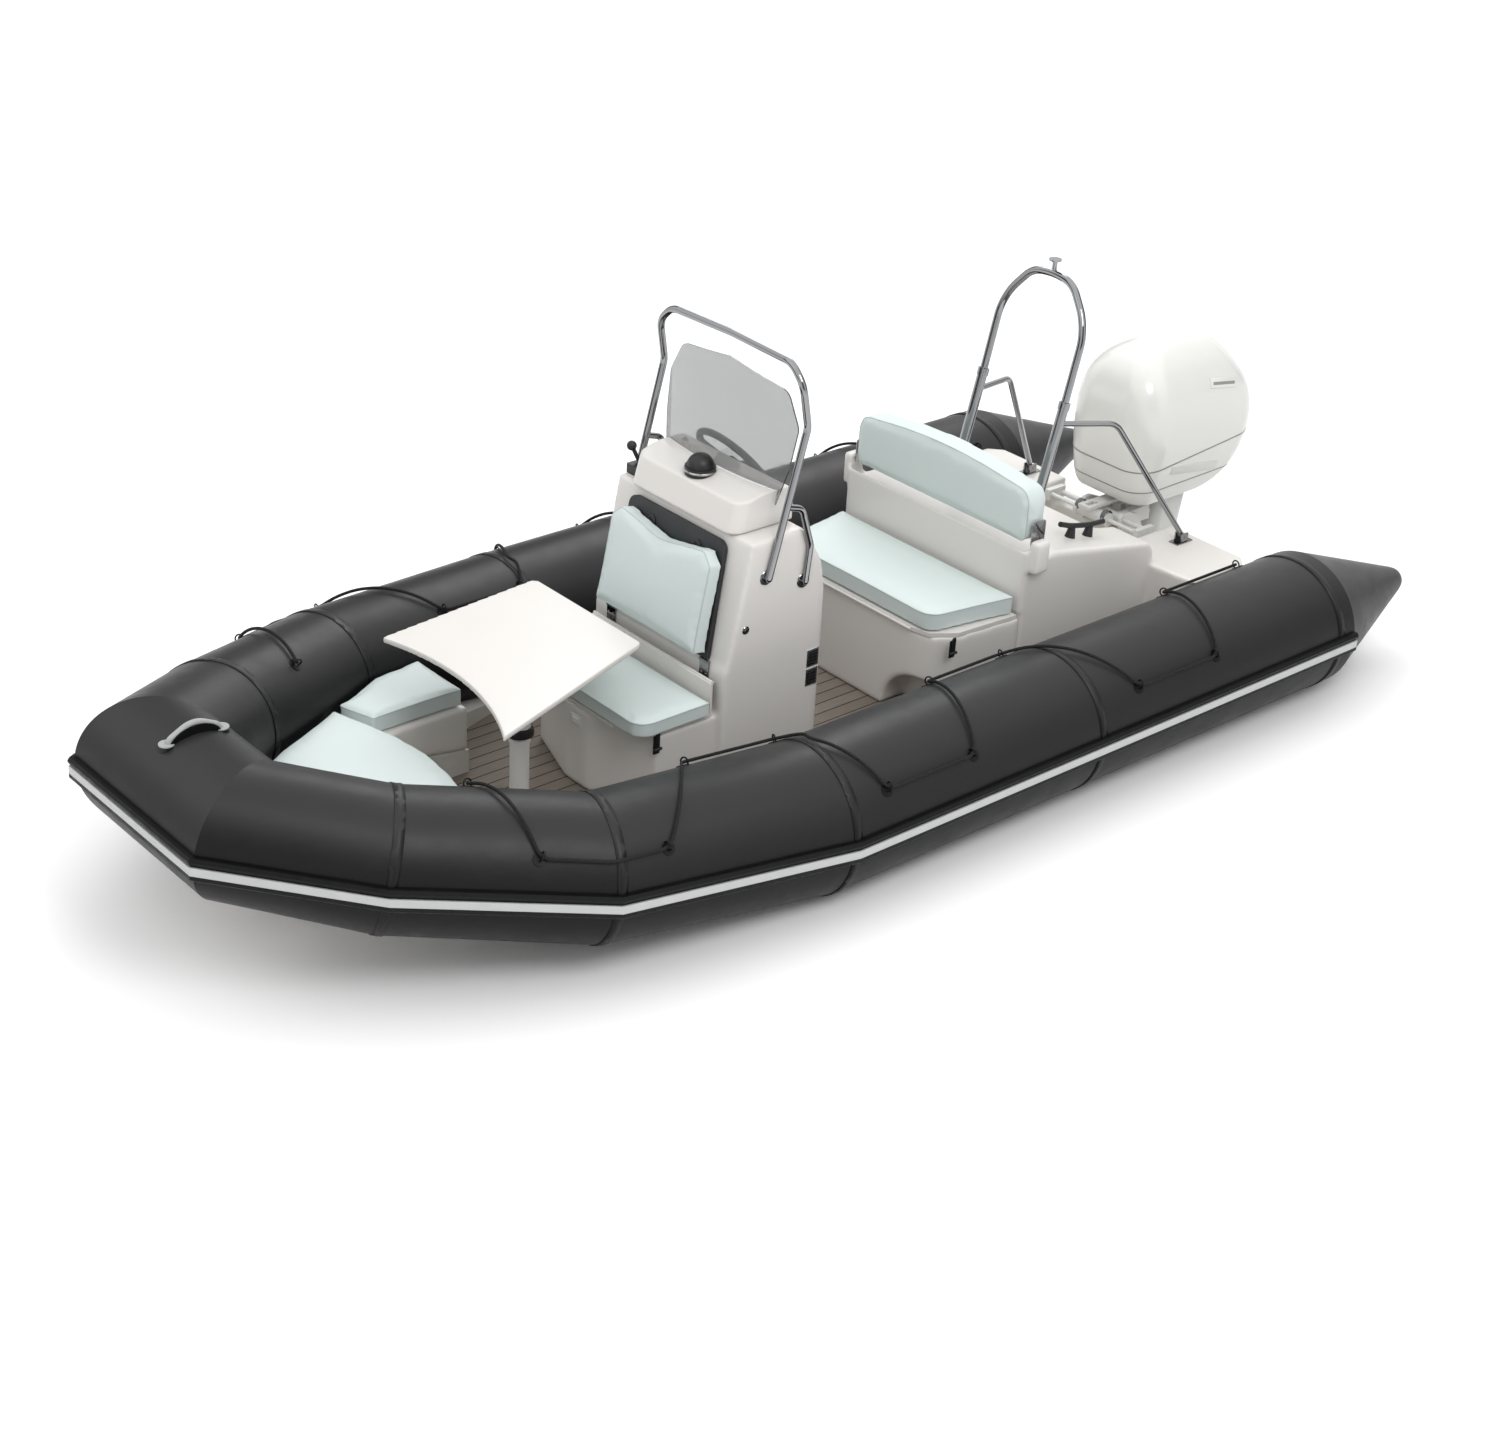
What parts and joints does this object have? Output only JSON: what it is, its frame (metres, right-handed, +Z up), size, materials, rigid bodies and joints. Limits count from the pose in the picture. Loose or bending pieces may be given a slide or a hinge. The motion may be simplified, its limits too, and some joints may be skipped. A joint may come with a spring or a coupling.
{
  "type": "inflatable rib boat",
  "caption": "Rigid-hull inflatable boat with inflated side tubes, centre console, cushioned seats, table, ski arch and an outboard that steers and tilts",
  "frame": {"origin": "on the waterline, on the centre plane, midway along the tubes", "axes": "+X forward, +Y to port, +Z up"},
  "size_m": [5.5479, 2.446, 2.326],
  "materials": {
    "hull_gelcoat": "glossy moulded gelcoat",
    "gelcoat": "warm white moulded gelcoat",
    "deck": "grey-brown planked decking",
    "tube_fabric": "satin coated tube fabric",
    "black_rubber": "matt moulded rubber",
    "grey_rubber": "light grey rubber band",
    "cushion": "pale marine vinyl",
    "smoked": "smoked acrylic sheet",
    "polished": "polished stainless tube",
    "stainless": "stainless steel",
    "alloy": "anodised tube",
    "dark_plastic": "dark moulded plastic",
    "grey_plastic": "grey soft-grip plastic",
    "rope": "black braided rope",
    "engine_paint": "gloss white engine paint",
    "cowl_plastic": "gloss white cowl",
    "engine_block": "dark painted casting"
  },
  "bodies": {
    "boat": {"hull": "hull_gelcoat", "deck_planking": "deck", "tube_port": "tube_fabric", "tube_starboard": "tube_fabric", "tube_bow": "tube_fabric", "rubbing_strake": "black_rubber", "strake_stripe": "grey_rubber", "bow_handle": "black_rubber", "towing_eye": "stainless", "bow_seat_base": "gelcoat", "bow_cushions": "cushion", "console_body": "gelcoat", "dash_pod": "gelcoat", "windscreen": "smoked", "console_rails": "polished", "compass": "dark_plastic", "helm_controls": "dark_plastic", "seat_hinges": "polished", "bench_base": "gelcoat", "stern_moulding": "gelcoat", "cleats": "dark_plastic", "ski_arch": "polished", "arch_stays": "polished", "table_top": "gelcoat", "table_pedestal": "alloy", "lifelines": "rope", "lifeline_rings": "stainless", "clamp_bracket": "engine_paint"},
    "wheel": {"steering_wheel": "grey_plastic"},
    "front_lid": {"front_seat_lid": "gelcoat", "front_seat_cushion": "cushion"},
    "front_back": {"back_panel": "dark_plastic", "back_cushion": "cushion"},
    "bench_seat": {"bench_lid": "gelcoat", "bench_cushion": "cushion"},
    "backrest": {"bench_backrest": "cushion", "backrest_arms": "stainless"},
    "swivel": {"swivel_bracket": "engine_paint"},
    "ram": {"steering_cylinder": "engine_paint"},
    "engine": {"engine_cowl": "cowl_plastic", "powerhead": "engine_block", "engine_leg": "engine_paint"},
    "prop": {"propeller": "stainless"},
    "trim_body": {"trim_barrel": "engine_block"},
    "trim_ram": {"trim_rod": "stainless"}
  },
  "joints": [
    {"name": "engine_tilt", "type": "hinge", "parent": "boat", "child": "swivel", "pos_m": [-1.903, 0, 0.462], "axis": [0, 1, 0], "range_deg": [0, 50]},
    {"name": "engine_steer", "type": "hinge", "parent": "swivel", "child": "engine", "pos_m": [-2.095, 0, 0.3], "axis": [0, 0, 1], "range_deg": [-30, 30]},
    {"name": "steering_travel", "type": "slide", "parent": "swivel", "child": "ram", "axis": [0, 1, 0], "range_m": [-0.1475, 0.1475]},
    {"name": "helm_turn", "type": "hinge", "parent": "boat", "child": "wheel", "pos_m": [0.095, -0.16, 1.105], "axis": [-0.7986, 0, 0.6018], "range_deg": [-360, 360]},
    {"name": "propeller_spin", "type": "hinge", "parent": "engine", "child": "prop", "pos_m": [-2.4, 0, -0.435], "axis": [1, 0, 0], "continuous": true},
    {"name": "trim_swing", "type": "hinge", "parent": "boat", "child": "trim_body", "pos_m": [-1.996, 0, 0.165], "axis": [0, 1, 0], "range_deg": [0, 2.3]},
    {"name": "trim_stroke", "type": "slide", "parent": "trim_body", "child": "trim_ram", "axis": [-0.1856, 0, 0.9826], "range_m": [0, 0.128]},
    {"name": "front_seat_lift", "type": "hinge", "parent": "boat", "child": "front_lid", "pos_m": [0.6, 0, 0.545], "axis": [0, -1, 0], "range_deg": [0, 28]},
    {"name": "console_hatch", "type": "hinge", "parent": "boat", "child": "front_back", "pos_m": [0.579, 0, 0.598], "axis": [0, 1, 0], "range_deg": [0, 45]},
    {"name": "bench_lift", "type": "hinge", "parent": "boat", "child": "bench_seat", "pos_m": [-0.412, 0, 0.4673], "axis": [0, 1, 0], "range_deg": [0, 60]},
    {"name": "backrest_swing", "type": "hinge", "parent": "boat", "child": "backrest", "pos_m": [-0.91, 0, 0.768], "axis": [0, 1, 0], "range_deg": [0, 25]}
  ],
  "couplings": [
    {"joint": "steering_travel", "follows": "engine_steer", "m_per_rad": 0.278},
    {"joint": "helm_turn", "follows": "engine_steer", "ratio": -12},
    {"joint": "trim_stroke", "follows": "engine_tilt", "m_per_rad": 0.1447},
    {"joint": "trim_swing", "follows": "engine_tilt", "ratio": 0.045}
  ]
}
